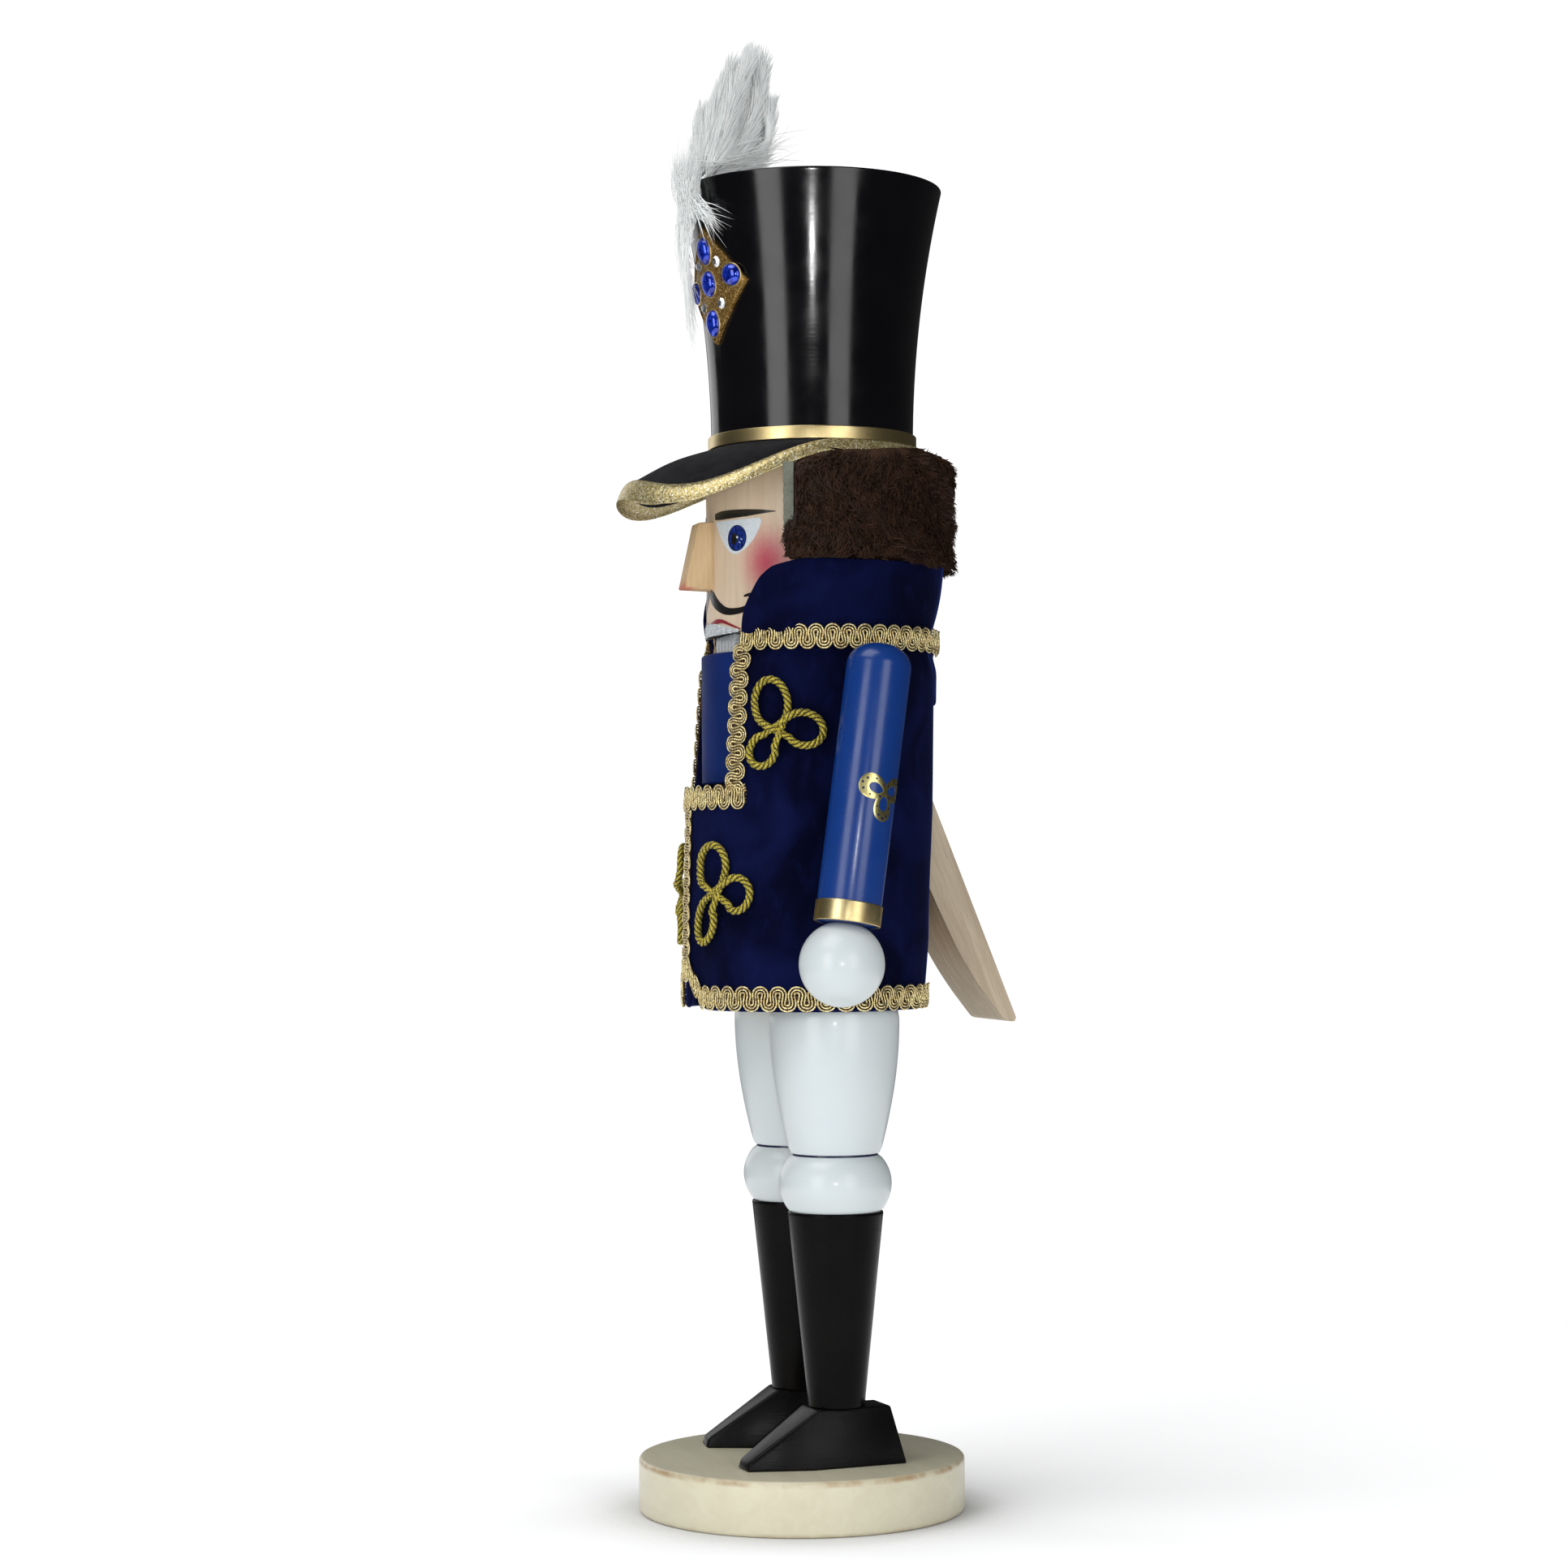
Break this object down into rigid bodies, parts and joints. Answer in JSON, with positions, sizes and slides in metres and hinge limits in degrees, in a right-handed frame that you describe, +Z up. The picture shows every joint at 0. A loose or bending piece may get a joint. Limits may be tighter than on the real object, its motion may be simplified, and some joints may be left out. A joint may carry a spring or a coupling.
{
  "type": "nutcracker figure",
  "caption": "Standing wooden soldier nutcracker in a velvet coat and tall hat; the tail lever at its back opens the jaw.",
  "frame": {"origin": "middle of the base disc's underside", "axes": "+Z up, the figure faces -Y, its left side is +X"},
  "size_m": [0.145, 0.1305, 0.4849],
  "materials": {
    "ivory_wood": "stained and sealed, rubbed brown at the edges",
    "black_paint": "satin black paint on wood",
    "raw_wood": "bare",
    "white_paint": "gloss white paint on turned wood",
    "pin_steel": "drawn rod",
    "lever_wood": "bare, sanded",
    "blue_paint": "gloss blue paint",
    "teeth_paint": "white paint with thin dark lines",
    "face_wood": "pale varnish with a painted face",
    "brown_fur": "pile",
    "black_lacquer": "gloss black lacquer on turned wood",
    "gold_foil": "polished foil band",
    "black_felt": "felt",
    "gold_glitter": "glitter ribbon",
    "cockade_board": "glitter card",
    "blue_gem": "gloss",
    "clear_gem": "cut",
    "white_feather": "feather",
    "blue_velvet": "velvet",
    "gold_braid": "metallic gimp",
    "gold_cord": "twisted rayon"
  },
  "bodies": {
    "figure": {"base_disc": "ivory_wood", "left_shoe": "black_paint", "right_shoe": "black_paint", "left_boot": "black_paint", "right_boot": "black_paint", "left_ankle_dowel": "raw_wood", "right_ankle_dowel": "raw_wood", "left_knee_dowel": "raw_wood", "right_knee_dowel": "raw_wood", "left_hip_dowel": "raw_wood", "right_hip_dowel": "raw_wood", "left_shoulder_dowel": "raw_wood", "right_shoulder_dowel": "raw_wood", "neck_dowels": "raw_wood", "hat_dowel": "raw_wood", "torso": "raw_wood", "left_knee": "white_paint", "right_knee": "white_paint", "left_thigh": "white_paint", "right_thigh": "white_paint", "left_hand": "white_paint", "right_hand": "white_paint", "pivot_pin": "pin_steel", "nose": "lever_wood", "left_arm": "blue_paint", "right_arm": "blue_paint", "upper_teeth": "teeth_paint", "head": "face_wood", "hair": "brown_fur", "hat_crown": "black_lacquer", "hat_band": "gold_foil", "left_cuff": "gold_foil", "right_cuff": "gold_foil", "visor": "black_felt", "visor_trim": "gold_glitter", "cockade_plate": "cockade_board", "cabochons": "blue_gem", "rhinestones": "clear_gem", "plume": "white_feather", "coat_body": "blue_velvet", "collar": "blue_velvet", "neck_braid": "gold_braid", "placket_braid": "gold_braid", "closure_braid": "gold_braid", "hem_braid": "gold_braid", "left_upper_knot": "gold_cord", "right_upper_knot": "gold_cord", "left_lower_knot": "gold_cord", "right_lower_knot": "gold_cord"},
    "jaw_lever": {"lever_board": "lever_wood", "jaw_panel": "blue_paint", "lower_teeth": "teeth_paint"}
  },
  "joints": [
    {"name": "jaw_hinge", "type": "hinge", "parent": "figure", "child": "jaw_lever", "pos_m": [0, -0.014, 0.245], "axis": [1, 0, 0], "range_deg": [0, 30]}
  ]
}
